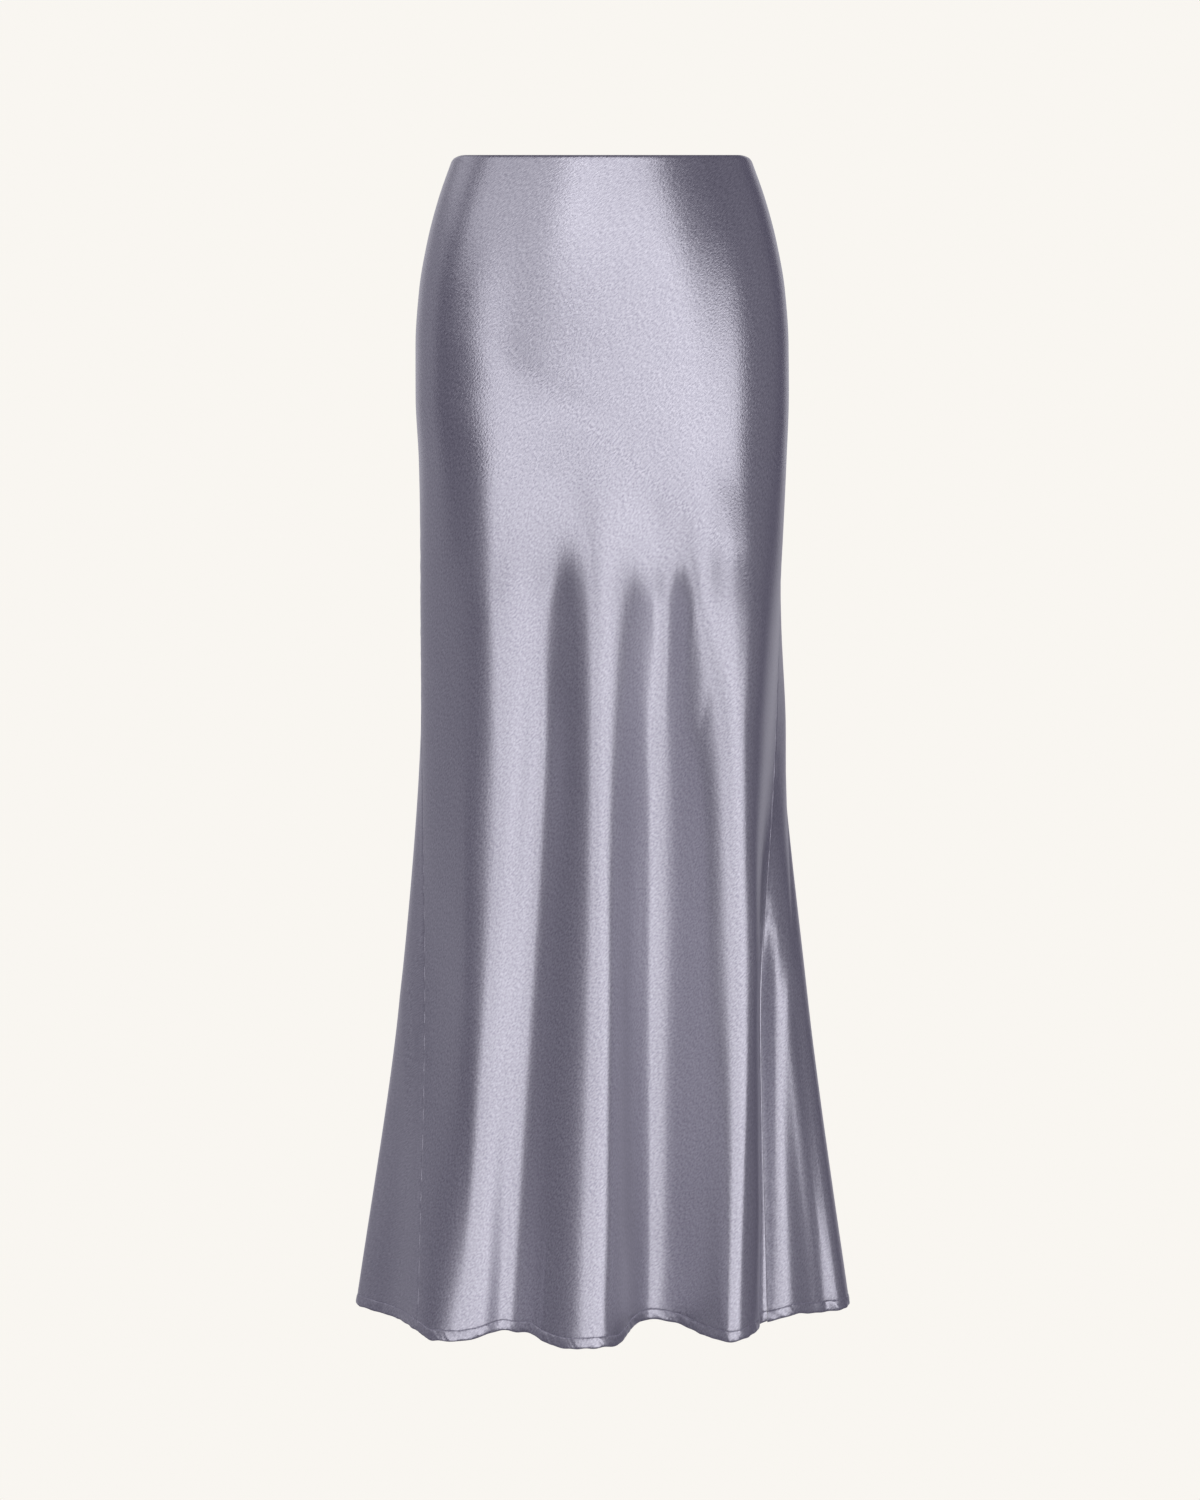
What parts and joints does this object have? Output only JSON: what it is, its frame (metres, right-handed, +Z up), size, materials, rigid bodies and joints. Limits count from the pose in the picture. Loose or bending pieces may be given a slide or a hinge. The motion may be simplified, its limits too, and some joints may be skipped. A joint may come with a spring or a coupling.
{
  "type": "mermaid fishtail skirt",
  "caption": "Bias-cut satin maxi skirt, fitted over the hips and flaring in soft flutes to a narrow turned hem, with a concealed side zip.",
  "frame": {"origin": "middle of the waist opening, level with the top edge at centre front, where the wearer's waist holds the skirt up", "axes": "+Z up the skirt from hem to waist, -Y out of the front, +X towards the side seam with the zip, the wearer's left"},
  "size_m": [0.4314, 0.37, 1.0037],
  "materials": {
    "satin": "lilac-grey polyester satin, glossy face out, cut on the bias",
    "tape": "matt woven polyester tape with a nylon coil, dyed to match",
    "zip_metal": "zinc, painted to match the cloth"
  },
  "bodies": {
    "skirt": {"front_panel": "satin", "back_panel": "satin", "zip_tape": "tape", "zip_slider": "zip_metal"},
    "zip_pull": {"zip_pull": "zip_metal"}
  },
  "joints": [
    {"name": "pull_swing", "type": "hinge", "parent": "skirt", "child": "zip_pull", "pos_m": [0.1297, 0.02386, -0.01132], "axis": [0.3338, -0.9427, 0], "range_deg": [0, 150]}
  ]
}
